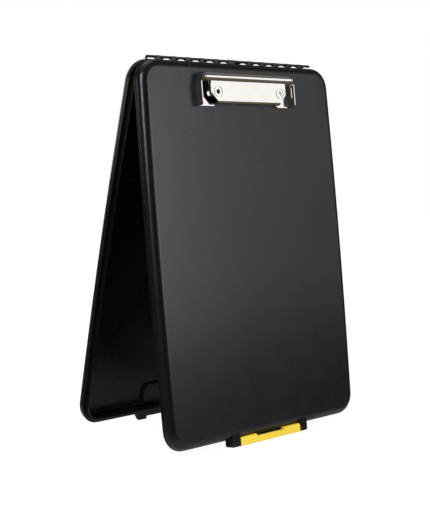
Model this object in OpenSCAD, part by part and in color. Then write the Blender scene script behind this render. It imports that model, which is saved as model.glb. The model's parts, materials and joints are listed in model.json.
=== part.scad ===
// Storage clipboard case standing open as an A-frame.
// Board space, used for every module: x runs along the hinge, y up the board from
// the hinge axis (so the board lies at negative y), z out of the parting plane.

/* [Case] */
// Width of each half at its corners
case_w = 243.4; // [200:0.2:280]
// Length of each half, hinge edge to latch edge
case_h = 335.6; // [280:0.2:380]
// Thickness of one half, parting plane to outer face
half_t = 9.9; // [8.5:0.1:14]
// How far each long side swells out at its middle
side_crown = 1.95; // [1:0.05:4]
// Corner radius of the outline
corner_r = 20; // [16:0.5:30]
// Radius that rounds the edge into the outer face
edge_r = 7.2; // [5:0.1:8]
// Wall thickness of the mouldings
wall = 2; // [1.4:0.1:2.4]
// Angle between the halves as the case stands
stand_angle = 19.4; // [12:0.1:30]

/* [Rim] */
// How far the bead at the parting line stands out of the side
bead_out = 0.5; // [0.3:0.1:1]
// Thickness of that bead
bead_t = 1; // [0.6:0.1:1.6]
// Height of the nesting lip above the back half's parting plane
lip_h = 4; // [2:0.1:4.5]
// Thickness of the nesting lip
lip_t = 1.5; // [1:0.1:2]
// Gap between the nesting lip and the front half's wall
lip_gap = 0.8; // [0.5:0.1:1.2]
// Gap kept between parts that swing past each other
part_gap = 0.35; // [0.3:0.05:0.5]

/* [Hinge] */
// Distance from the hinge axis down to the case edge
hinge_rise = 2.4; // [2.4:0.1:6]
// Diameter of the hinge wire
wire_d = 2.3; // [1.6:0.1:2.4]
// Radial clearance of every pin in its bore
pin_gap = 0.05; // [0.03:0.01:0.09]
// Outer radius of a hinge knuckle
knuckle_r = 2; // [1.8:0.1:2]
// Width of one hinge knuckle
knuckle_w = 4.4; // [3:0.1:6]
// Width of each of the two middle knuckles
mid_knuckle_w = 8.4; // [5:0.1:10]
// Distance between neighbouring pairs of knuckles
knuckle_pitch = 17.45; // [15:0.05:18]
// Pairs of knuckles on each side of the middle
knuckle_pairs = 5; // [3:1:5]
// Length of the hinge wire
wire_len = 212; // [200:1:214]
// How far the wire sits off the middle, towards its bent end
wire_shift = 1.2; // [0:0.1:2]
// How far the wire's bent end reaches from the hinge axis
wire_leg = 5; // [4:0.1:5.2]
// Diameter of the two round stops on the hinge edge
stop_d = 6; // [4:0.1:7]
// How far the stops stand out of the rounded edge
stop_out = 0.5; // [0.3:0.1:1]

/* [Latch] */
// Length of the latch bar
latch_len = 78.4; // [60:0.2:100]
// Gap between the latch bar and each lug
latch_side_gap = 0.4; // [0.3:0.1:0.8]
// Width of a lug
lug_w = 9.8; // [7:0.1:12]
// How far the front lugs reach below the case edge
front_foot = 6.2; // [5.6:0.1:8]
// How far the back lugs reach below the case edge
back_foot = 7.2; // [5.6:0.1:9]
// Diameter of the latch's pivot pins
latch_pin_d = 2.4; // [1.8:0.1:3]
// Length of each latch pivot pin
latch_pin_len = 3; // [2:0.1:5]
// Width of the latch's snap tongue
tongue_w = 34.6; // [24:0.2:44]
// Thickness of the catch rail
rail_t = 2; // [1.4:0.1:2.4]
// How far the catch rail reaches below the case edge
rail_drop = 4.3; // [3.4:0.1:5]
// How far the front half's skirt reaches below the case edge behind the latch
skirt_drop = 2.3; // [1.5:0.1:2.4]

/* [Grip pocket] */
// Width of the finger pocket in the back half
pocket_w = 83; // [60:1:100]
// Height of the finger pocket
pocket_h = 15; // [12:0.5:30]
// Depth of the finger pocket
pocket_d = 3; // [2:0.1:4.2]
// Distance from the case edge up to the pocket
pocket_up = 9; // [8.5:0.5:30]

/* [Clip] */
// Width of the clip over its ears
clip_w = 121; // [100:1:130]
// Length of the clip along the board
clip_len = 29; // [26:0.5:32]
// Distance from the hinge axis to the clip's rear edge
clip_from_hinge = 14; // [12:0.5:30]
// Sheet thickness of the clip
sheet_t = 1; // [0.8:0.1:1.2]
// Height of the clip's ears above the board
ear_h = 8; // [6:0.1:9]
// How far the rod tabs stand inside the ears
ear_step = 3.5; // [2:0.1:5]
// Outer radius of the jaw's curl
curl_r = 4.2; // [3.6:0.1:4.8]
// Diameter of the jaw's pivot rod
rod_d = 3.2; // [2.4:0.1:3.6]
// Height of the jaw plate's top above the board
jaw_h = 7.6; // [6.4:0.1:8]
// Gap between the curl and each rod tab
curl_gap = 0.7; // [0.4:0.1:1.5]
// How far the jaw plate's ends stand inside the curl's ends
jaw_inset = 7.3; // [4:0.1:12]
// Width that each cut corner takes off the gripping lip
jaw_corner = 7.3; // [5:0.1:9]
// Outer radius of the bend into the gripping lip
grip_bend_r = 3.2; // [2:0.1:4]
// Distance from each side of the clip in to its rivet
rivet_inset = 20.5; // [16:0.5:24]
// Distance from the clip's rear edge to the rivets
rivet_back = 16.9; // [14:0.1:19]
// Diameter of the rivet shank
rivet_d = 4; // [3:0.1:5]
// Diameter of the pressed ring round each access hole
ring_d = 10.4; // [8:0.1:12]
// Wire diameter of the jaw springs
spring_wire = 0.8; // [0.6:0.1:0.9]
// Whole turns of each jaw spring
spring_turns = 3; // [1:1:4]
// Length of the spring leg that presses on the base
spring_leg = 12; // [8:0.5:14]

/* [Hidden] */
$fn = 48;

// Colours
black_shell = [0.09, 0.09, 0.1];
black_wire = [0.03, 0.03, 0.03];
latch_yellow = [0.95, 0.82, 0.16];
chrome = [0.82, 0.83, 0.85];
spring_steel = [0.62, 0.62, 0.64];

eps = 0.02;      // overlap that joins two shapes of one solid
lap = 0.6;       // overlap of the panel with the rim that carries it
far = 50;        // reach of a cut that passes through everything

// Outline: each long side is one arc of crown_r, tangent to both corner arcs
corner_x = case_w / 2 - corner_r;
corner_y = case_h / 2 - corner_r;
crown_a = round(2 * atan(side_crown / corner_y) * 1e4) / 1e4;
crown_r = corner_y / sin(crown_a) + corner_r;
crown_x = corner_x - corner_y / tan(crown_a);
case_mid_y = -hinge_rise - case_h / 2;
case_edge_y = -hinge_rise - case_h;

// Rim section, measured inwards from the outline
wall_in = bead_out + wall;
arc_in = bead_out + edge_r;
arc_z = half_t - edge_r;
panel_in = arc_in + lap;
band = panel_in + side_crown + lap;
floor_z = half_t - wall;
inner_r = edge_r - wall;
lip_in = wall_in + lip_gap;
ledge_z = 1.2;

// Hinge
wire_r = wire_d / 2;
wire_bore_r = wire_r + pin_gap;
hook_open_y = wire_r - 0.15;
wire_bend_r = wire_r + 0.4;
wire_tip_gap = 0.5;
wire_end_x = -wire_len / 2 - wire_shift;
slot_w = knuckle_pitch - 2 * knuckle_w - part_gap;
first_slot = mid_knuckle_w + (part_gap + slot_w) / 2;
stop_x = first_slot + 3 * knuckle_pitch;
stop_turn = 40;

// Latch, with its pivot axis in the hollow of the rounded edge
foot_y = case_edge_y - front_foot;
barrel_r = 2.6;
latch_face_z = half_t + 0.4;
pivot_z = latch_face_z - barrel_r;
pivot_y = case_edge_y - 0.85;
latch_low_y = foot_y + 0.1;
latch_wall = 2;
back_lug_slope = 5;
back_lug_corner = [half_t - 0.5, case_edge_y - back_foot + back_lug_slope];
groove_d = 0.5;
groove_w = 1.1;
grooves = 3;
lug_x = latch_len / 2 + latch_side_gap + lug_w / 2;
lug_front_z = half_t;
lug_top = 6.2;
lug_round = 2.4;
lug_edge = 0.1;
skirt_t = 2;
slit_w = 0.8;
slit_depth = 3.6;
arm_t = 1.2;
arm_low_y = foot_y + 1.25;
rail_arch_y = case_edge_y - rail_drop + 2.4;
barb_t = 1.8;
barb_z = -rail_t - part_gap - 0.75;
barb_top_y = rail_arch_y - 0.4;

// Clip
clip_rear_y = -clip_from_hinge;
clip_front_y = clip_rear_y - clip_len;
jaw_axis_y = clip_rear_y - curl_r + 0.4;
jaw_axis_z = half_t + sheet_t + part_gap + curl_r;
jaw_top_z = half_t + jaw_h;
jaw_front_y = clip_front_y + 1.5;
grip_y = jaw_front_y + grip_bend_r;
rod_r = rod_d / 2;
collar_len = 5;
tab_x = clip_w / 2 - ear_step;
ear_rear_y = jaw_axis_y - curl_r + sheet_t;
curl_len = 2 * (tab_x - sheet_t - curl_gap);
jaw_w = curl_len - 2 * jaw_inset;
grip_w = jaw_w - 2 * jaw_corner;
jaw_under_z = jaw_top_z - sheet_t;
rivet_span = clip_w - 2 * rivet_inset;
rivet_y = clip_rear_y - rivet_back;
head_r = rivet_d * 1.05;
head_t = 1.3;
washer_t = 0.8;
curl_in_r = curl_r - sheet_t;
spring_r = (curl_in_r + rod_r) / 2;
spring_pitch = spring_wire + 0.15;
spring_sweep = 360 * spring_turns + 255;
spring_len = spring_pitch * spring_sweep / 360 + spring_wire;
spring_x = curl_len / 2 - collar_len - spring_len / 2 - part_gap;

// Lean of each half that puts both pairs of feet on the floor
front_toe = [hinge_rise + case_h + front_foot, part_gap];
back_toe = [hinge_rise + case_h + back_foot, part_gap];
toe_ratio = norm(front_toe) / norm(back_toe);
toe_sum = stand_angle + toe_angle(front_toe) + toe_angle(back_toe);
lean_front = atan((toe_ratio - cos(toe_sum)) / sin(toe_sum)) - toe_angle(front_toe);
lean_back = stand_angle - lean_front;
hinge_z = front_toe[0] * cos(lean_front) - front_toe[1] * sin(lean_front);
// The origin lies under the middle of the footprint
latch_low_r = latch_wall / 2;
front_reach = -(latch_low_y + latch_low_r) * sin(lean_front)
    + (latch_face_z - latch_low_r) * cos(lean_front) + latch_low_r;
back_reach = -back_lug_corner[1] * sin(lean_back) + back_lug_corner[0] * cos(lean_back);
hinge_y = (front_reach - back_reach) / 2;

function toe_angle(p) = atan(p[1] / p[0]);
// Middle of each pair of knuckles
function pair_x(side, k) = side * (first_slot + knuckle_pitch * (k + 0.5));

// Placing
module front_leg() {
    translate([0, hinge_y, hinge_z]) rotate([90 - lean_front, 0, 0]) children();
}
module back_leg() {
    translate([0, hinge_y, hinge_z]) mirror([0, 1, 0]) rotate([90 - lean_back, 0, 0]) children();
}
// Runs a section along x; its own x points out of the board and its y up the board
module across(len, at = 0) {
    translate([at, 0, 0]) rotate([0, -90, 0]) linear_extrude(len, center = true) children();
}
module both_sides() {
    for (s = [0, 1]) mirror([s, 0, 0]) children();
}

// The two halves
// Carries a section round the outline; its x = 0 lies on the outline and points outwards
module round_rim() {
    translate([0, case_mid_y, 0]) {
        both_sides() {
            long_move(crown_x) rotate_extrude(start = -crown_a, angle = 2 * crown_a, $fn = 2400)
                long_move(crown_r) children();
            for (t = [0, 1]) mirror([0, t, 0]) translate([corner_x, corner_y, 0])
                rotate_extrude(start = crown_a, angle = 90 - crown_a, $fn = 72)
                    translate([corner_r, 0]) children();
        }
        for (t = [0, 1]) mirror([0, t, 0]) translate([-corner_x, case_h / 2, 0])
            rotate([90, 0, 90]) linear_extrude(2 * corner_x) children();
    }
}
// A long way along x in three moves, so that the tangent arcs meet to the last digit
module long_move(x) {
    whole = floor(x);
    part = floor((x - whole) * 1e3) / 1e3;
    translate([whole, 0]) translate([part, 0]) translate([x - whole - part, 0]) children();
}
module rim_section() {
    difference() {
        union() {
            translate([-band, 0]) square([band - arc_in, half_t]);
            translate([-arc_in - eps, 0]) square([edge_r + eps, arc_z]);
            intersection() {
                translate([-arc_in, arc_z]) circle(edge_r);
                translate([-arc_in, arc_z - eps]) square(edge_r + 1);
            }
            translate([-wall_in, 0]) square([wall_in, bead_t]);
        }
        translate([-band - 1, -1]) square([band + 1 - wall_in - inner_r, floor_z + 1]);
        translate([-wall_in - inner_r - eps, -1])
            square([inner_r + eps, floor_z + 1 - inner_r]);
        translate([-wall_in - inner_r, floor_z - inner_r]) circle(inner_r);
    }
}
module lip_section() {
    translate([-lip_in - lip_t, -lip_h]) square([lip_t, lip_h + ledge_z + lip_t]);
    translate([-lip_in - lip_t, ledge_z])
        square([lip_in + lip_t - wall_in + lap, lip_t]);
}
module panel() {
    translate([0, case_mid_y, floor_z]) linear_extrude(wall) {
        for (sx = [-1, 1], sy = [-1, 1])
            translate([sx * corner_x, sy * corner_y]) circle(corner_r - panel_in);
        square([2 * corner_x, case_h - 2 * panel_in], center = true);
        square([case_w - 2 * panel_in, 2 * corner_y], center = true);
    }
}
module hook_section() {
    difference() {
        union() {
            circle(knuckle_r);
            translate([part_gap, -hinge_rise - 1.2]) square([knuckle_r - part_gap, hinge_rise + 1.2]);
        }
        circle(wire_bore_r);
        translate([-far / 2, hook_open_y]) square(far);
    }
}
module front_shell() {
    color(black_shell) front_leg() difference() {
        union() {
            round_rim() rim_section();
            panel();
            across(mid_knuckle_w, -(mid_knuckle_w + part_gap) / 2) hook_section();
            for (s = [-1, 1], k = [0 : knuckle_pairs - 1])
                across(knuckle_w, pair_x(s, k) - (knuckle_w + part_gap) / 2) hook_section();
            both_sides() hinge_stop();
            both_sides() across(lug_w, lug_x) lug_section();
            across(2 * lug_x) translate([part_gap, case_edge_y - skirt_drop])
                square([skirt_t, skirt_drop + wall_in / 2]);
        }
        wire_leg_place(wire_leg + wire_tip_gap) cylinder(wire_leg + wire_tip_gap, r = wire_bore_r);
        both_sides() {
            lug_corner_cut();
            across(2 * (latch_pin_len + part_gap), latch_len / 2 + latch_side_gap)
                translate([pivot_z, pivot_y]) circle(latch_pin_d / 2 + pin_gap);
            for (k = [1 : grooves])
                across(groove_w, lug_x - lug_w / 2 + k * lug_w / (grooves + 1)) lug_groove();
            translate([rivet_span / 2, rivet_y, floor_z - 1])
                cylinder(wall + 2, r = rivet_d / 2 + pin_gap);
        }
    }
}
// A round pad square to the rounded hinge edge
module hinge_stop() {
    translate([stop_x, -hinge_rise - arc_in, arc_z]) rotate([-stop_turn, 0, 0]) {
        translate([0, 0, edge_r - wall / 2]) cylinder(wall / 2 + stop_out / 2, d = stop_d);
        translate([0, 0, edge_r + stop_out / 2])
            cylinder(stop_out / 2, d1 = stop_d, d2 = stop_d - stop_out);
    }
}
module lug_section() {
    r = 1.6;
    difference() {
        translate([part_gap, foot_y + r])
            square([lug_front_z - part_gap, lug_top + front_foot - r]);
        // The lug ends inside the case wall and stays out of the hollow behind it
        translate([-1, case_edge_y + wall_in - lap]) square([floor_z - inner_r + 1, far]);
        translate([-1, case_edge_y + wall_in + inner_r]) square([floor_z + lap + 1, far]);
        translate([floor_z - inner_r, case_edge_y + wall_in + inner_r]) circle(inner_r + lap);
    }
    translate([part_gap, foot_y]) square([lug_front_z - part_gap - r, r + eps]);
    translate([lug_front_z - r, foot_y + r]) circle(r);
}
// Rounds the outer lower corner of a lug
module lug_corner_cut() {
    translate([lug_x + lug_w / 2 - lug_round, foot_y + lug_round, -1]) linear_extrude(far)
        difference() {
            translate([0, -lug_round - 1]) square(lug_round + 1);
            translate([lug_edge, -lug_edge]) circle(lug_round);
        }
}
module lug_groove() {
    translate([lug_front_z - groove_d, foot_y - 1]) square([far, front_foot + lug_top]);
}
module back_shell() {
    color(black_shell) back_leg() difference() {
        union() {
            round_rim() rim_section();
            round_rim() lip_section();
            panel();
            across(mid_knuckle_w, (mid_knuckle_w + part_gap) / 2) hook_section();
            for (s = [-1, 1], k = [0 : knuckle_pairs - 1])
                across(knuckle_w, pair_x(s, k) + (knuckle_w + part_gap) / 2) hook_section();
            both_sides() across(lug_w, lug_x) catch_lug_section();
            across(2 * lug_x) translate([part_gap, case_edge_y - rail_drop])
                square([rail_t, rail_drop + 1.5]);
            pocket_body(wall);
        }
        pocket_cut();
        wire_leg_room();
        translate([-tongue_w / 2 - 2, rail_arch_y - far, -1]) cube([tongue_w + 4, far, rail_t + 1.6]);
    }
}
// Room for the wire's bent end when the case is shut
module wire_leg_room() {
    room = wire_r + part_gap;
    translate([wire_end_x + wire_r - room, -wire_leg - wire_tip_gap, -1])
        cube([2 * room, wire_leg, room + 1]);
}
module catch_lug_section() {
    low = case_edge_y - back_foot;
    polygon([
        [part_gap, low], [part_gap + 3.6, low + 0.3], back_lug_corner,
        [back_lug_corner[0], case_edge_y + 4], [part_gap, case_edge_y + 1.5],
    ]);
}
module pocket_outline(grow) {
    r = 5 + grow;
    x = pocket_w / 2 + grow - r;
    low = case_edge_y + pocket_up - grow;
    for (s = [-1, 1], y = [low + r, low + pocket_h + 2 * grow - r])
        translate([s * x, y]) circle(r);
    translate([-x, low]) square([2 * x, pocket_h + 2 * grow]);
    translate([-x - r, low + r]) square([2 * (x + r), pocket_h + 2 * (grow - r)]);
}
module pocket_body(t) {
    low = half_t - pocket_d - t;
    translate([0, 0, low]) linear_extrude(floor_z - low + eps) pocket_outline(t);
}
module pocket_cut() {
    translate([0, 0, half_t - pocket_d]) linear_extrude(far) pocket_outline(0);
}

// Hinge wire: free at one end, bent down between the halves at the other
module wire_leg_place(reach) {
    translate([wire_end_x + wire_r, -reach, 0]) rotate([-90, 0, 0]) children();
}
module hinge_wire() {
    straight = wire_len - wire_r - wire_bend_r;
    bend_x = wire_end_x + wire_r + wire_bend_r;
    color(black_wire) front_leg() {
        translate([bend_x, 0, 0]) rotate([0, 90, 0]) cylinder(straight, r = wire_r);
        translate([bend_x, -wire_bend_r, 0]) rotate([0, 0, 90])
            rotate_extrude(angle = 90) translate([wire_bend_r, 0]) circle(wire_r, $fn = 32);
        wire_leg_place(wire_leg) cylinder(wire_leg - wire_bend_r, r = wire_r);
    }
}

// Latch
module latch_bar() {
    color(latch_yellow) front_leg() difference() {
        union() {
            across(latch_len) {
                translate([pivot_z, pivot_y]) circle(barrel_r);
                latch_wall_section(pivot_y);
            }
            across(latch_len + 2 * latch_pin_len) translate([pivot_z, pivot_y])
                circle(latch_pin_d / 2);
            across(tongue_w) tongue_section();
        }
        across(tongue_w) barrel_relief();
        both_sides() across(slit_w, tongue_w / 2 + slit_w / 2)
            translate([0, pivot_y + barrel_r - slit_depth]) square(far);
    }
}
module latch_wall_section(top) {
    r = latch_wall / 2;
    translate([latch_face_z - r, latch_low_y + r]) circle(r);
    translate([latch_face_z - latch_wall, latch_low_y + r])
        square([latch_wall, top - latch_low_y - r]);
}
// The tongue has no barrel, so that it can flex: only the wall and the arm
module barrel_relief() {
    translate([0, arm_low_y + arm_t]) square([latch_face_z - latch_wall, far]);
    translate([0, pivot_y + 0.6]) square(far);
}
module tongue_section() {
    translate([barb_z - barb_t, arm_low_y]) square([latch_face_z - 1 - barb_z + barb_t, arm_t]);
    polygon([
        [barb_z - barb_t, arm_low_y], [barb_z, arm_low_y], [barb_z, barb_top_y],
        [barb_z - barb_t / 2, barb_top_y], [barb_z - barb_t, barb_top_y - 0.8],
    ]);
}

// Clip
module ear_section() {
    front_r = 3.2;
    rear_r = 1.2;
    top = half_t + ear_h;
    len = ear_rear_y - clip_front_y;
    translate([half_t, clip_front_y]) {
        translate([0, front_r]) square([ear_h, len - front_r - rear_r]);
        square([ear_h - front_r, len]);
        translate([0, len / 2]) square([ear_h - rear_r, len / 2]);
    }
    translate([top - front_r, clip_front_y + front_r]) circle(front_r);
    translate([top - rear_r, ear_rear_y - rear_r]) circle(rear_r);
}
module rod_tab_section() {
    difference() {
        union() {
            translate([jaw_axis_z, jaw_axis_y]) circle(curl_r);
            translate([half_t, jaw_axis_y - curl_r]) square([jaw_axis_z - half_t, 2 * curl_r]);
        }
        translate([jaw_axis_z, jaw_axis_y]) circle(rod_r + pin_gap);
    }
}
// A chromed tray: ears along the sides that step in to the rod tabs, and a fence at each
// front corner that leaves room for the jaw's lip between them
module clip_base() {
    fence_h = 2.6;
    lip_room = grip_w / 2 + part_gap;
    fence_len = clip_w / 2 - lip_room - part_gap;
    color(chrome) front_leg() difference() {
        union() {
            translate([-clip_w / 2, clip_front_y, half_t])
                cube([clip_w, ear_rear_y - clip_front_y, sheet_t]);
            translate([-tab_x, ear_rear_y - eps, half_t])
                cube([2 * tab_x, jaw_axis_y + curl_r - ear_rear_y + eps, sheet_t]);
            both_sides() {
                across(sheet_t, clip_w / 2 - sheet_t / 2) ear_section();
                across(sheet_t, tab_x - sheet_t / 2) rod_tab_section();
                translate([tab_x - sheet_t, ear_rear_y - sheet_t, half_t])
                    cube([ear_step + sheet_t / 2, sheet_t, ear_h - ear_step / 2]);
                translate([clip_w / 2 - fence_len, clip_front_y, half_t])
                    cube([fence_len, sheet_t, fence_h]);
            }
        }
        both_sides() translate([rivet_span / 2, rivet_y, half_t - 1])
            cylinder(sheet_t + 2, r = rivet_d / 2 + pin_gap);
        translate([-lip_room, clip_front_y - 1, half_t - 1])
            cube([2 * lip_room, jaw_front_y + sheet_t + part_gap - clip_front_y + 1, sheet_t + 2]);
    }
}
module jaw_plate_section() {
    in_r = grip_bend_r - sheet_t;
    bend_z = jaw_top_z - grip_bend_r;
    translate([jaw_under_z, grip_y]) square([sheet_t, jaw_axis_y - curl_r / 2 - grip_y]);
    difference() {
        translate([bend_z, grip_y]) circle(grip_bend_r);
        translate([bend_z, grip_y]) circle(in_r);
        translate([bend_z - far, grip_y - far / 2]) square(far);
        translate([bend_z, grip_y]) square(far);
    }
    translate([half_t + part_gap, jaw_front_y]) square([bend_z - half_t - part_gap + eps, sheet_t]);
}
// Between its two collars the curl is open underneath, so the springs reach the base
module curl_opening() {
    open_a = 55;
    circle(curl_in_r);
    translate([-far, -far]) square([far + jaw_under_z - jaw_axis_z, far]);
    polygon([[0, 0], [-far, far * tan(open_a)], [-far, 0]]);
}
module clip_jaw() {
    color(chrome) front_leg() difference() {
        union() {
            difference() {
                across(jaw_w) jaw_plate_section();
                both_sides() translate([grip_w / 2, clip_front_y - 1, 0]) {
                    cube([far, grip_bend_r + 1.5, far]);
                    translate([0, grip_bend_r + 1.5, 0]) linear_extrude(far)
                        polygon([[0, -eps], [far, -eps], [far, jaw_corner], [jaw_corner, jaw_corner]]);
                }
            }
            difference() {
                across(curl_len) translate([jaw_axis_z, jaw_axis_y]) circle(curl_r);
                across(curl_len - 2 * collar_len) translate([jaw_axis_z, jaw_axis_y])
                    curl_opening();
            }
        }
        across(curl_len + 1) translate([jaw_axis_z, jaw_axis_y]) circle(rod_r + pin_gap);
        across(curl_len - 2 * collar_len) translate([jaw_axis_z, jaw_axis_y]) circle(curl_in_r);
        both_sides() translate([rivet_span / 2, rivet_y, jaw_top_z]) {
            translate([0, 0, -sheet_t - 1]) cylinder(sheet_t + 2, d = rivet_d + 0.4);
            difference() {
                translate([0, 0, -0.35]) cylinder(1, d = ring_d);
                translate([0, 0, -1]) cylinder(2, d = ring_d - 1.6);
            }
        }
    }
}
module clip_rod() {
    head = 0.8;
    color(chrome) front_leg() translate([0, jaw_axis_y, jaw_axis_z]) rotate([0, 90, 0]) {
        cylinder(2 * (tab_x + head), r = rod_r, center = true);
        for (s = [-1, 1]) translate([0, 0, s * (tab_x + head / 2)])
            cylinder(head, r = rod_r + head, center = true);
    }
}
module clip_rivets() {
    tail = 0.7;
    color(chrome) front_leg() both_sides() translate([rivet_span / 2, rivet_y, 0]) difference() {
        union() {
            translate([0, 0, floor_z - washer_t]) cylinder(half_t + sheet_t - floor_z + washer_t,
                d = rivet_d);
            translate([0, 0, half_t + sheet_t]) cylinder(head_t / 2, r = head_r);
            translate([0, 0, half_t + sheet_t + head_t / 2])
                cylinder(head_t / 2, r1 = head_r, r2 = head_r - 1.2);
            translate([0, 0, floor_z - washer_t - tail]) cylinder(tail, r = head_r - 1);
        }
        translate([0, 0, floor_z - washer_t - tail - 1]) cylinder(4, d = rivet_d / 2);
    }
}
module rivet_washers() {
    color(chrome) front_leg() both_sides() translate([rivet_span / 2, rivet_y, floor_z - washer_t])
        difference() {
            cylinder(washer_t, r = head_r + 0.6);
            translate([0, 0, -1]) cylinder(washer_t + 2, r = rivet_d / 2 + pin_gap);
        }
}

// Jaw springs: coils on the rod inside the curl, one leg on the base and one under the jaw
spring_steps = 14;
spring_sides = 8;
spring_count = round(spring_sweep / 360 * spring_steps);
function spring_point(i) =
    let (t = i / spring_count, a = -90 + spring_sweep * t)
    [(spring_len - spring_wire) * (t - 0.5), spring_r * cos(a), spring_r * sin(a)];
function spring_path() = [
    [(spring_wire - spring_len) / 2, -spring_leg,
        half_t + sheet_t + spring_wire - jaw_axis_z],
    for (i = [0 : spring_count]) spring_point(i),
    [(spring_len - spring_wire) / 2, -curl_r - spring_wire,
        jaw_under_z - jaw_axis_z - part_gap - spring_wire / 2],
];
function ring_at(p, t, r) =
    let (
        d = t / norm(t),
        e = cross(d, [1, 0, 0]),
        a = e / norm(e),
        b = cross(d, a)
    )
    [for (j = [0 : spring_sides - 1])
        p + r * (cos(360 * j / spring_sides) * a + sin(360 * j / spring_sides) * b)];
module wire_tube(path, r) {
    n = len(path);
    rings = [for (i = [0 : n - 1])
        ring_at(path[i], path[min(i + 1, n - 1)] - path[max(i - 1, 0)], r)];
    points = [for (g = rings) each g];
    s = spring_sides;
    polyhedron(points, [
        [for (j = [0 : s - 1]) s - 1 - j],
        [for (j = [0 : s - 1]) (n - 1) * s + j],
        for (i = [0 : n - 2], j = [0 : s - 1])
            [i * s + j, i * s + (j + 1) % s, (i + 1) * s + (j + 1) % s, (i + 1) * s + j],
    ]);
}
module clip_springs() {
    color(spring_steel) front_leg() both_sides()
        translate([spring_x, jaw_axis_y, jaw_axis_z])
            wire_tube(spring_path(), spring_wire / 2);
}

front_shell();
back_shell();
hinge_wire();
latch_bar();
clip_base();
clip_jaw();
clip_rod();
clip_springs();
clip_rivets();
rivet_washers();
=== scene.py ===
import json
import math

import bpy
from mathutils import Matrix, Vector


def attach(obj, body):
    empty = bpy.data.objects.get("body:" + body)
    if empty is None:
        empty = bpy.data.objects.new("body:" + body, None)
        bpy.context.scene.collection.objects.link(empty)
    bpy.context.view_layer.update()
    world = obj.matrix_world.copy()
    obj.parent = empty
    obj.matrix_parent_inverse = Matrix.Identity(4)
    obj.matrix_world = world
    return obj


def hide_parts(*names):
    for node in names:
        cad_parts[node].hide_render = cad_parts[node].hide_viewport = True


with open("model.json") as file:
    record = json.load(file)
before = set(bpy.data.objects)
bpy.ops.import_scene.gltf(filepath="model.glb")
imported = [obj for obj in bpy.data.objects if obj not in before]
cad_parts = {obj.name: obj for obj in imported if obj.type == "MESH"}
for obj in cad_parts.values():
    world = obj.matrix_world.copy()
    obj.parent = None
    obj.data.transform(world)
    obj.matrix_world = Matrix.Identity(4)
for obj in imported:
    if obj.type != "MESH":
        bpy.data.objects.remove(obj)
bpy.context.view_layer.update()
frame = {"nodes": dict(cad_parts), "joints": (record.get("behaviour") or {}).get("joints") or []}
print("frame loaded:", len(frame["nodes"]), "CAD nodes")

mm = 0.001

# places in metres, turns in degrees, lens and sensor in millimetres
cameraSetup = {
    "place": (-0.79868, -0.78502, 0.30258),
    "turn": (83.1615, -1.8261, -44.4728),
    "lens": 86.375,
    "sensor": 36,
    "shift": (0.01298, -0.01075),
}


def makeCamera(setup):
    data = bpy.data.cameras.new("studioCamera")
    data.lens = setup["lens"]
    data.sensor_width = setup["sensor"]
    data.shift_x, data.shift_y = setup["shift"]
    camera = bpy.data.objects.new("studioCamera", data)
    camera.location = setup["place"]
    camera.rotation_euler = [math.radians(angle) for angle in setup["turn"]]
    bpy.context.scene.collection.objects.link(camera)
    bpy.context.scene.camera = camera


makeCamera(cameraSetup)
print("camera placed")


# short way to add and link the nodes of a material, a world or a modifier
class Tree:
    def __init__(self, tree):
        self.tree = tree

    def add(self, kind, inputs=None, **settings):
        node = self.tree.nodes.new(kind)
        for name, value in settings.items():
            setattr(node, name, value)
        for socket, value in (inputs or {}).items():
            self.feed(node, socket, value)
        return node

    def feed(self, node, socket, value):
        target = node.inputs[socket]
        if isinstance(value, bpy.types.NodeSocket):
            self.tree.links.new(value, target)
        else:
            target.default_value = value

    def math(self, operation, a, b=0.0, c=0.0):
        return self.add("ShaderNodeMath", {0: a, 1: b, 2: c}, operation=operation).outputs[0]


def newMaterial(name):
    material = bpy.data.materials.new(name)
    material.use_nodes = True
    material.node_tree.nodes.clear()
    tree = Tree(material.node_tree)
    shader = tree.add("ShaderNodeBsdfPrincipled")
    output = tree.add("ShaderNodeOutputMaterial")
    tree.feed(output, "Surface", shader.outputs["BSDF"])
    coords = tree.add("ShaderNodeTexCoord").outputs["Object"]
    return material, tree, shader, coords


def noise(tree, coords, scale, detail=3.0, roughness=0.5, stretch=None):
    place = coords
    if stretch:
        place = tree.add("ShaderNodeMapping", {"Vector": coords, "Scale": stretch}).outputs["Vector"]
    return tree.add("ShaderNodeTexNoise", {
        "Vector": place, "Scale": scale, "Detail": detail, "Roughness": roughness,
    }).outputs["Fac"]


def remap(tree, value, low, high, toLow, toHigh, shape="LINEAR"):
    return tree.add("ShaderNodeMapRange", {
        "Value": value, "From Min": low, "From Max": high, "To Min": toLow, "To Max": toHigh,
    }, interpolation_type=shape).outputs["Result"]


def blendColors(tree, factor, colorA, colorB):
    mix = tree.add("ShaderNodeMix", data_type="RGBA")
    tree.feed(mix, 0, factor)
    tree.feed(mix, 6, colorA)
    tree.feed(mix, 7, colorB)
    return mix.outputs[2]


def bump(tree, height, strength, distance, under=None):
    inputs = {"Height": height, "Strength": strength, "Distance": distance}
    if under:
        inputs["Normal"] = under
    return tree.add("ShaderNodeBump", inputs).outputs["Normal"]


# the part of a noise pattern's range that the finishes below spread their roughness over
noiseBand = (0.35, 0.65)


def roughen(tree, shader, pattern, finish):
    tree.feed(shader, "Roughness", remap(tree, pattern, *noiseBand, *finish["roughness"]))


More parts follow.
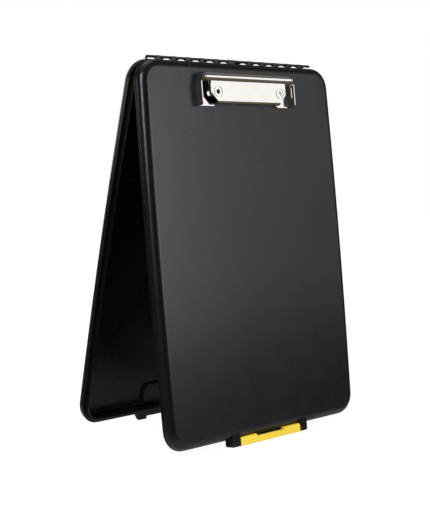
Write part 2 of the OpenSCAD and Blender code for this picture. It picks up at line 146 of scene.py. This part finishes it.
# black case plastic: fine moulded grain, faint flow clouds, handling marks, paler worn edges
shellFinish = {
    "color": (0.0022, 0.0022, 0.0025, 1), "paler": (0.0038, 0.0038, 0.0043, 1),
    "cloudScale": 14, "cloudBand": (0.3, 0.7),
    "wornColor": (0.025, 0.025, 0.027, 1), "wornAmount": 0.4, "wornEdge": (0.54, 0.62),
    "wornBand": (0.35, 0.6), "wornLeast": 0.2,
    "roughness": (0.265, 0.30), "smudgeScale": 42,
    "specular": 0.40, "reflectionTint": (0.90, 0.885, 1.0, 1),
    "grainScale": 2400, "grainDepth": 0.03 * mm, "grainStrength": 0.15,
    "scratchScale": 240, "scratchStretch": (1.0, 0.06, 0.05),
    "scratchDepth": 0.02 * mm, "scratchStrength": 0.05,
    "sinkScale": 9, "sinkDepth": 0.4 * mm, "sinkStrength": 0.05,
}


def blackPlastic(finish):
    material, tree, shader, coords = newMaterial("mouldedBlackPlastic")
    cloud = noise(tree, coords, finish["cloudScale"], detail=4)
    smudge = noise(tree, coords, finish["smudgeScale"], detail=5, roughness=0.6)
    scratch = noise(tree, coords, finish["scratchScale"], detail=2, stretch=finish["scratchStretch"])
    grain = noise(tree, coords, finish["grainScale"], detail=2)
    sink = noise(tree, coords, finish["sinkScale"], detail=1)
    base = blendColors(tree, remap(tree, cloud, *finish["cloudBand"], 0, 1),
                       finish["color"], finish["paler"])
    edge = tree.add("ShaderNodeNewGeometry").outputs["Pointiness"]
    worn = tree.math("MULTIPLY", remap(tree, edge, *finish["wornEdge"], 0, finish["wornAmount"]),
                     remap(tree, smudge, *finish["wornBand"], finish["wornLeast"], 1))
    tree.feed(shader, "Base Color", blendColors(tree, worn, base, finish["wornColor"]))
    roughen(tree, shader, smudge, finish)
    tree.feed(shader, "Specular IOR Level", finish["specular"])
    tree.feed(shader, "Specular Tint", finish["reflectionTint"])
    wave = bump(tree, sink, finish["sinkStrength"], finish["sinkDepth"])
    fine = bump(tree, grain, finish["grainStrength"], finish["grainDepth"], wave)
    tree.feed(shader, "Normal", bump(
        tree, scratch, finish["scratchStrength"], finish["scratchDepth"], fine))
    return material


# hinge wire: drawn steel with a black oxide skin, rubbed brighter here and there
wireFinish = {
    "color": (0.012, 0.012, 0.013, 1), "rubbed": (0.10, 0.10, 0.105, 1),
    "rubbedScale": 130, "rubbedBand": (0.58, 0.72), "rubbedAmount": 0.5,
    "roughness": (0.28, 0.42), "metal": 0.6,
    "drawnScale": 900, "drawnStretch": (0.04, 1, 1), "drawnDepth": 0.03 * mm, "drawnStrength": 0.2,
}


def blackWire(finish):
    material, tree, shader, coords = newMaterial("oxidedWire")
    drawn = noise(tree, coords, finish["drawnScale"], stretch=finish["drawnStretch"])
    patches = noise(tree, coords, finish["rubbedScale"])
    rubbed = remap(tree, patches, *finish["rubbedBand"], 0, finish["rubbedAmount"])
    tree.feed(shader, "Base Color", blendColors(tree, rubbed, finish["color"], finish["rubbed"]))
    tree.feed(shader, "Metallic", finish["metal"])
    roughen(tree, shader, drawn, finish)
    tree.feed(shader, "Normal", bump(tree, drawn, finish["drawnStrength"], finish["drawnDepth"]))
    return material


# clip sheet: bright plate with a slight roll of the sheet and a trace of haze and hairlines
chromeFinish = {
    "color": (0.95, 0.925, 0.89, 1), "hazeColor": (0.88, 0.86, 0.83, 1),
    "hazeScale": 90, "hazeBand": (0.5, 0.75), "roughness": (0.035, 0.10),
    "rollScale": 46, "rollStretch": (0.45, 1, 1), "rollDepth": 0.5 * mm, "rollStrength": 0.025,
    "hairScale": 1500, "hairStretch": (0.03, 1, 1), "hairDepth": 0.004 * mm, "hairStrength": 0.10,
}


def chromePlate(finish):
    material, tree, shader, coords = newMaterial("chromePlate")
    haze = noise(tree, coords, finish["hazeScale"], detail=4)
    roll = noise(tree, coords, finish["rollScale"], detail=1, roughness=0.4,
                 stretch=finish["rollStretch"])
    hairs = noise(tree, coords, finish["hairScale"], detail=2, stretch=finish["hairStretch"])
    hazed = remap(tree, haze, *finish["hazeBand"], 0, 1)
    tree.feed(shader, "Base Color", blendColors(tree, hazed, finish["color"], finish["hazeColor"]))
    tree.feed(shader, "Metallic", 1.0)
    roughen(tree, shader, haze, finish)
    under = bump(tree, roll, finish["rollStrength"], finish["rollDepth"])
    tree.feed(shader, "Normal", bump(
        tree, hairs, finish["hairStrength"], finish["hairDepth"], under))
    return material


# spring wire: drawn bare steel, greyer and duller than the plate
steelFinish = {
    "color": (0.50, 0.49, 0.47, 1), "darker": (0.26, 0.25, 0.24, 1),
    "patchScale": 300, "patchBand": (0.4, 0.7), "roughness": (0.18, 0.34),
    "drawnScale": 1400, "drawnDepth": 0.01 * mm, "drawnStrength": 0.15,
}


def springSteel(finish):
    material, tree, shader, coords = newMaterial("springSteel")
    drawn = noise(tree, coords, finish["drawnScale"])
    patches = noise(tree, coords, finish["patchScale"])
    dark = remap(tree, patches, *finish["patchBand"], 0, 1)
    tree.feed(shader, "Base Color", blendColors(tree, dark, finish["color"], finish["darker"]))
    tree.feed(shader, "Metallic", 1.0)
    roughen(tree, shader, drawn, finish)
    tree.feed(shader, "Normal", bump(tree, drawn, finish["drawnStrength"], finish["drawnDepth"]))
    return material


# latch: glossy yellow plastic with a little depth and faint flow lines
latchFinish = {
    "color": (0.91, 0.70, 0.06, 1), "deeper": (0.86, 0.61, 0.03, 1),
    "flowScale": 45, "flowStretch": (0.3, 1, 1), "roughness": (0.20, 0.32),
    "depth": 0.12, "depthReach": (0.002, 0.0014, 0.0003),
    "grainScale": 1800, "grainDepth": 0.02 * mm, "grainStrength": 0.12,
}


def yellowPlastic(finish):
    material, tree, shader, coords = newMaterial("yellowPlastic")
    flow = noise(tree, coords, finish["flowScale"], stretch=finish["flowStretch"])
    grain = noise(tree, coords, finish["grainScale"], detail=2)
    deep = remap(tree, flow, *noiseBand, 0, 1)
    tree.feed(shader, "Base Color", blendColors(tree, deep, finish["color"], finish["deeper"]))
    roughen(tree, shader, flow, finish)
    tree.feed(shader, "Subsurface Weight", finish["depth"])
    tree.feed(shader, "Subsurface Radius", finish["depthReach"])
    tree.feed(shader, "Normal", bump(tree, grain, finish["grainStrength"], finish["grainDepth"]))
    return material


plastic = blackPlastic(shellFinish)
wire = blackWire(wireFinish)
chrome = chromePlate(chromeFinish)
steel = springSteel(steelFinish)
yellow = yellowPlastic(latchFinish)
nodeFinish = {
    "front_shell": plastic, "back_shell": plastic, "hinge_wire": wire, "latch_bar": yellow,
    "clip_base": chrome, "clip_jaw": chrome, "clip_rod": chrome, "clip_springs": steel,
    "clip_rivets": chrome, "rivet_washers": chrome,
}


def dress(node, material):
    piece = frame["nodes"][node]
    piece.data.materials.clear()
    piece.data.materials.append(material)


for node, material in nodeFinish.items():
    dress(node, material)
print("materials on", len(nodeFinish), "nodes")


# a group of nodes with named inputs, and the object that carries it as a modifier
def newGroup(name, inputs):
    group = bpy.data.node_groups.new(name, "GeometryNodeTree")
    face = group.interface
    for label, kind in inputs.items():
        face.new_socket(label, in_out="INPUT", socket_type="NodeSocket" + kind)
    face.new_socket("Geometry", in_out="OUTPUT", socket_type="NodeSocketGeometry")
    tree = Tree(group)
    given = tree.add("NodeGroupInput").outputs
    return group, tree, given


def bakeGroup(name, group, values, place, body):
    carrier = bpy.data.objects.new(name, bpy.data.meshes.new(name + "Seed"))
    bpy.context.scene.collection.objects.link(carrier)
    modifier = carrier.modifiers.new(name, "NODES")
    modifier.node_group = group
    for socket in group.interface.items_tree:
        if socket.in_out == "INPUT":
            modifier[socket.identifier] = values[socket.name]
    graph = bpy.context.evaluated_depsgraph_get()
    baked = bpy.data.meshes.new_from_object(carrier.evaluated_get(graph), depsgraph=graph)
    carrier.modifiers.clear()
    carrier.data = baked
    baked.name = name
    baked.transform(place)
    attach(carrier, body)
    return carrier


# jaw springs: a coil on the rod, one leg on the base plate and one under the jaw
# Foot and Tip are the ends of the legs, from the coil's middle: along the rod, up the board, outwards
springs = {
    "Wire Radius": 0.4 * mm, "Coil Radius": 2.4 * mm, "Coil Length": 3.52 * mm, "Turns": 3.708,
    "Coil Points": 120, "Round Points": 14, "Bend Radius": 1.0 * mm, "Bend Points": 4,
    "Foot": (-1.76 * mm, -12.0 * mm, -3.75 * mm), "Tip": (1.76 * mm, -5.0 * mm, 0.3 * mm),
    "Side Offset": 47.79 * mm,
}
springInputs = {
    "Wire Radius": "Float", "Coil Radius": "Float", "Coil Length": "Float", "Turns": "Float",
    "Coil Points": "Int", "Round Points": "Int", "Bend Radius": "Float", "Bend Points": "Int",
    "Foot": "Vector", "Tip": "Vector", "Side Offset": "Float",
}


# the first point of the row is the foot, the last is the tip, and those between wind the coil
def springPath(tree, given):
    slack = 1e-6
    last = tree.math("SUBTRACT", given["Coil Points"], 1.0)
    along = tree.math(
        "DIVIDE", tree.math("SUBTRACT", tree.add("GeometryNodeInputIndex").outputs[0], 1.0),
        tree.math("SUBTRACT", last, 2.0))
    wound = tree.math("MULTIPLY", tree.math("MULTIPLY", along, given["Turns"]), 2 * math.pi)
    angle = tree.math("SUBTRACT", wound, math.pi / 2)
    coil = tree.add("ShaderNodeCombineXYZ", {
        0: tree.math("MULTIPLY", tree.math("SUBTRACT", along, 0.5), given["Coil Length"]),
        1: tree.math("MULTIPLY", tree.math("COSINE", angle), given["Coil Radius"]),
        2: tree.math("MULTIPLY", tree.math("SINE", angle), given["Coil Radius"]),
    }).outputs[0]

    def swap(test, kept, other):
        node = tree.add("GeometryNodeSwitch", input_type="VECTOR")
        tree.feed(node, "Switch", test)
        tree.feed(node, "False", kept)
        tree.feed(node, "True", other)
        return node.outputs[0]

    withFoot = swap(tree.math("LESS_THAN", along, -slack), coil, given["Foot"])
    return swap(tree.math("GREATER_THAN", along, 1 + slack), withFoot, given["Tip"])


def springGroup(material):
    group, tree, given = newGroup("jawSpringGroup", springInputs)
    row = tree.add("GeometryNodeMeshLine", {"Count": given["Coil Points"]})
    line = tree.add("GeometryNodeMeshToCurve", {0: row.outputs[0]})
    bent = tree.add("GeometryNodeSetPosition", {
        "Geometry": line.outputs[0], "Position": springPath(tree, given)})
    eased = tree.add("GeometryNodeFilletCurve", {
        "Curve": bent.outputs[0], "Radius": given["Bend Radius"]}, mode="POLY")
    tree.feed(eased, "Count", given["Bend Points"])
    tree.feed(eased, "Limit Radius", True)
    ring = tree.add("GeometryNodeCurvePrimitiveCircle", {
        "Resolution": given["Round Points"], "Radius": given["Wire Radius"]})
    tube = tree.add("GeometryNodeCurveToMesh", {
        "Curve": eased.outputs[0], "Profile Curve": ring.outputs[0], "Fill Caps": True})
    toSide = tree.add("ShaderNodeCombineXYZ", {0: given["Side Offset"]})
    right = tree.add("GeometryNodeTransform", {
        "Geometry": tube.outputs[0], "Translation": toSide.outputs[0]})
    left = tree.add("GeometryNodeTransform", {"Geometry": right.outputs[0], "Scale": (-1, 1, 1)})
    turned = tree.add("GeometryNodeFlipFaces", {0: left.outputs[0]})
    both = tree.add("GeometryNodeJoinGeometry")
    tree.feed(both, 0, right.outputs[0])
    tree.feed(both, 0, turned.outputs[0])
    smooth = tree.add("GeometryNodeSetShadeSmooth", {"Geometry": both.outputs[0]})
    real = tree.add("GeometryNodeRealizeInstances", {0: smooth.outputs[0]})
    skin = tree.add("GeometryNodeSetMaterial", {"Geometry": real.outputs[0], "Material": material})
    tree.add("NodeGroupOutput", {0: skin.outputs[0]})
    return group


# degrees that the front half leans back from upright
frontLean = 9.21667


# the front half's own directions at a joint: x along the hinge, y up the board, z outwards
def frontPlace(jointName):
    joint = next(found for found in frame["joints"] if found["name"] == jointName)
    turn = Matrix.Rotation(math.radians(90 - frontLean), 4, "X")
    return Matrix.Translation(joint["pos_m"]) @ turn


jawSprings = bakeGroup("jawSprings", springGroup(steel), springs, frontPlace("clip_jaw_hinge"),
                       "front_half")
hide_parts("clip_springs")
print("jaw springs coiled:", len(jawSprings.data.polygons), "faces")

# the room: a pale floor and backdrop, which the camera sees as white but for a faint shadow
# the floor as reflections see it is a painted pool of light, pale near the middle and painted dark
# beyond the pool's edge;
# surround is the dim room in reflections, and it lightens overhead
studio = {
    "floorSize": 8.0, "floorWhite": (0.82, 0.82, 0.82, 1), "glowShare": 0.84, "glowStrength": 1.12,
    "paintedPoolLit": (0.72, 0.69, 0.66, 1), "paintedPoolDark": (0.10, 0.078, 0.056, 1), "paintedPoolEdge": (0.12, 0.22),
    "ambient": 0.5, "surround": 0.028, "surroundHigh": 0.18, "surroundRise": (0.3, 0.85),
    "backdropStrength": 1.0,
}
# softboxes, with places and sizes in metres and power in watts
lamps = {
    "wideSoftbox": {
        "place": (0.80, -1.02, 0.515), "aim": (0, 0, 0.22), "size": (1.00, 0.75), "power": 2.25},
    "rightSoftbox": {
        "place": (0.52, -1.13, 0.515), "aim": (0, 0, 0.22), "size": (0.68, 0.75), "power": 3.5},
    "rightCore": {
        "place": (0.60, -1.12, 0.46), "aim": (0, 0, 0.22), "size": (0.16, 0.60), "power": 0.8},
    "leftStrip": {
        "place": (-1.36, -0.41, 0.90), "aim": (-0.1, 0, 0.25), "size": (0.24, 0.80), "power": 16},
    "farLeftSoftbox": {
        "place": (-0.98, 0.93, 0.42), "aim": (0, 0, 0.3), "size": (0.28, 0.34), "power": 0.7},
    "overheadSoftbox": {
        "place": (0.0, 0.3, 1.5), "aim": (0, 0, 0.2), "size": (1.0, 1.0), "power": 4},
    "backSoftbox": {
        "place": (0.0, 1.40, 0.6), "aim": (0, 0, 0.2), "size": (0.8, 0.8), "power": 5},
}
white = (1, 1, 1, 1)


def makeFloor(setup):
    half = setup["floorSize"] / 2
    mesh = bpy.data.meshes.new("studioFloor")
    mesh.from_pydata([(-half, -half, 0), (half, -half, 0), (half, half, 0), (-half, half, 0)],
                     [], [(0, 1, 2, 3)])
    floor = bpy.data.objects.new("studioFloor", mesh)
    bpy.context.scene.collection.objects.link(floor)
    material = bpy.data.materials.new("paleFloor")
    material.use_nodes = True
    material.node_tree.nodes.clear()
    tree = Tree(material.node_tree)
    path = tree.add("ShaderNodeLightPath").outputs
    place = tree.add("ShaderNodeTexCoord").outputs["Object"]
    reach = tree.add("ShaderNodeVectorMath", {0: place}, operation="LENGTH").outputs["Value"]
    # painted pool of light: reflections see the floor pale near the middle and painted dark farther
    # out
    paintedPoolFade = remap(tree, reach, *setup["paintedPoolEdge"], 0, 1, "SMOOTHSTEP")
    mirrored = blendColors(tree, paintedPoolFade, setup["paintedPoolLit"], setup["paintedPoolDark"])
    color = blendColors(tree, path["Is Glossy Ray"], setup["floorWhite"], mirrored)
    matte = tree.add("ShaderNodeBsdfDiffuse", {"Color": color})
    glow = tree.add("ShaderNodeEmission", {"Color": white, "Strength": setup["glowStrength"]})
    seen = tree.math("MULTIPLY", path["Is Camera Ray"], setup["glowShare"])
    mix = tree.add("ShaderNodeMixShader", {0: seen, 1: matte.outputs[0], 2: glow.outputs[0]})
    output = tree.add("ShaderNodeOutputMaterial")
    tree.feed(output, "Surface", mix.outputs[0])
    mesh.materials.append(material)


def makeWorld(setup):
    world = bpy.data.worlds.new("studioWorld")
    bpy.context.scene.world = world
    world.use_nodes = True
    world.node_tree.nodes.clear()
    tree = Tree(world.node_tree)
    path = tree.add("ShaderNodeLightPath").outputs
    direction = tree.add("ShaderNodeTexCoord").outputs["Generated"]
    rise = tree.add("ShaderNodeSeparateXYZ", {0: direction}).outputs["Z"]
    sky = remap(tree, rise, *setup["surroundRise"], setup["surround"], setup["surroundHigh"])
    soft = tree.add("ShaderNodeBackground", {"Color": white, "Strength": setup["ambient"]})
    mirrored = tree.add("ShaderNodeBackground", {"Color": white, "Strength": sky})
    backdrop = tree.add("ShaderNodeBackground", {
        "Color": white, "Strength": setup["backdropStrength"]})
    shiny = tree.add("ShaderNodeMixShader", {
        0: path["Is Glossy Ray"], 1: soft.outputs[0], 2: mirrored.outputs[0]})
    seen = tree.add("ShaderNodeMixShader", {
        0: path["Is Camera Ray"], 1: shiny.outputs[0], 2: backdrop.outputs[0]})
    output = tree.add("ShaderNodeOutputWorld")
    tree.feed(output, "Surface", seen.outputs[0])


def makeLamp(name, setup):
    data = bpy.data.lights.new(name, "AREA")
    data.shape = "RECTANGLE"
    data.size, data.size_y = setup["size"]
    data.energy = setup["power"]
    lamp = bpy.data.objects.new(name, data)
    lamp.location = setup["place"]
    aim = Vector(setup["aim"]) - Vector(setup["place"])
    lamp.rotation_euler = aim.to_track_quat("-Z", "Y").to_euler()
    lamp.visible_camera = False
    bpy.context.scene.collection.objects.link(lamp)


makeFloor(studio)
makeWorld(studio)
for name, setup in lamps.items():
    makeLamp(name, setup)
bpy.context.scene.view_settings.view_transform = "Standard"
print("studio lit with", len(lamps), "softboxes")
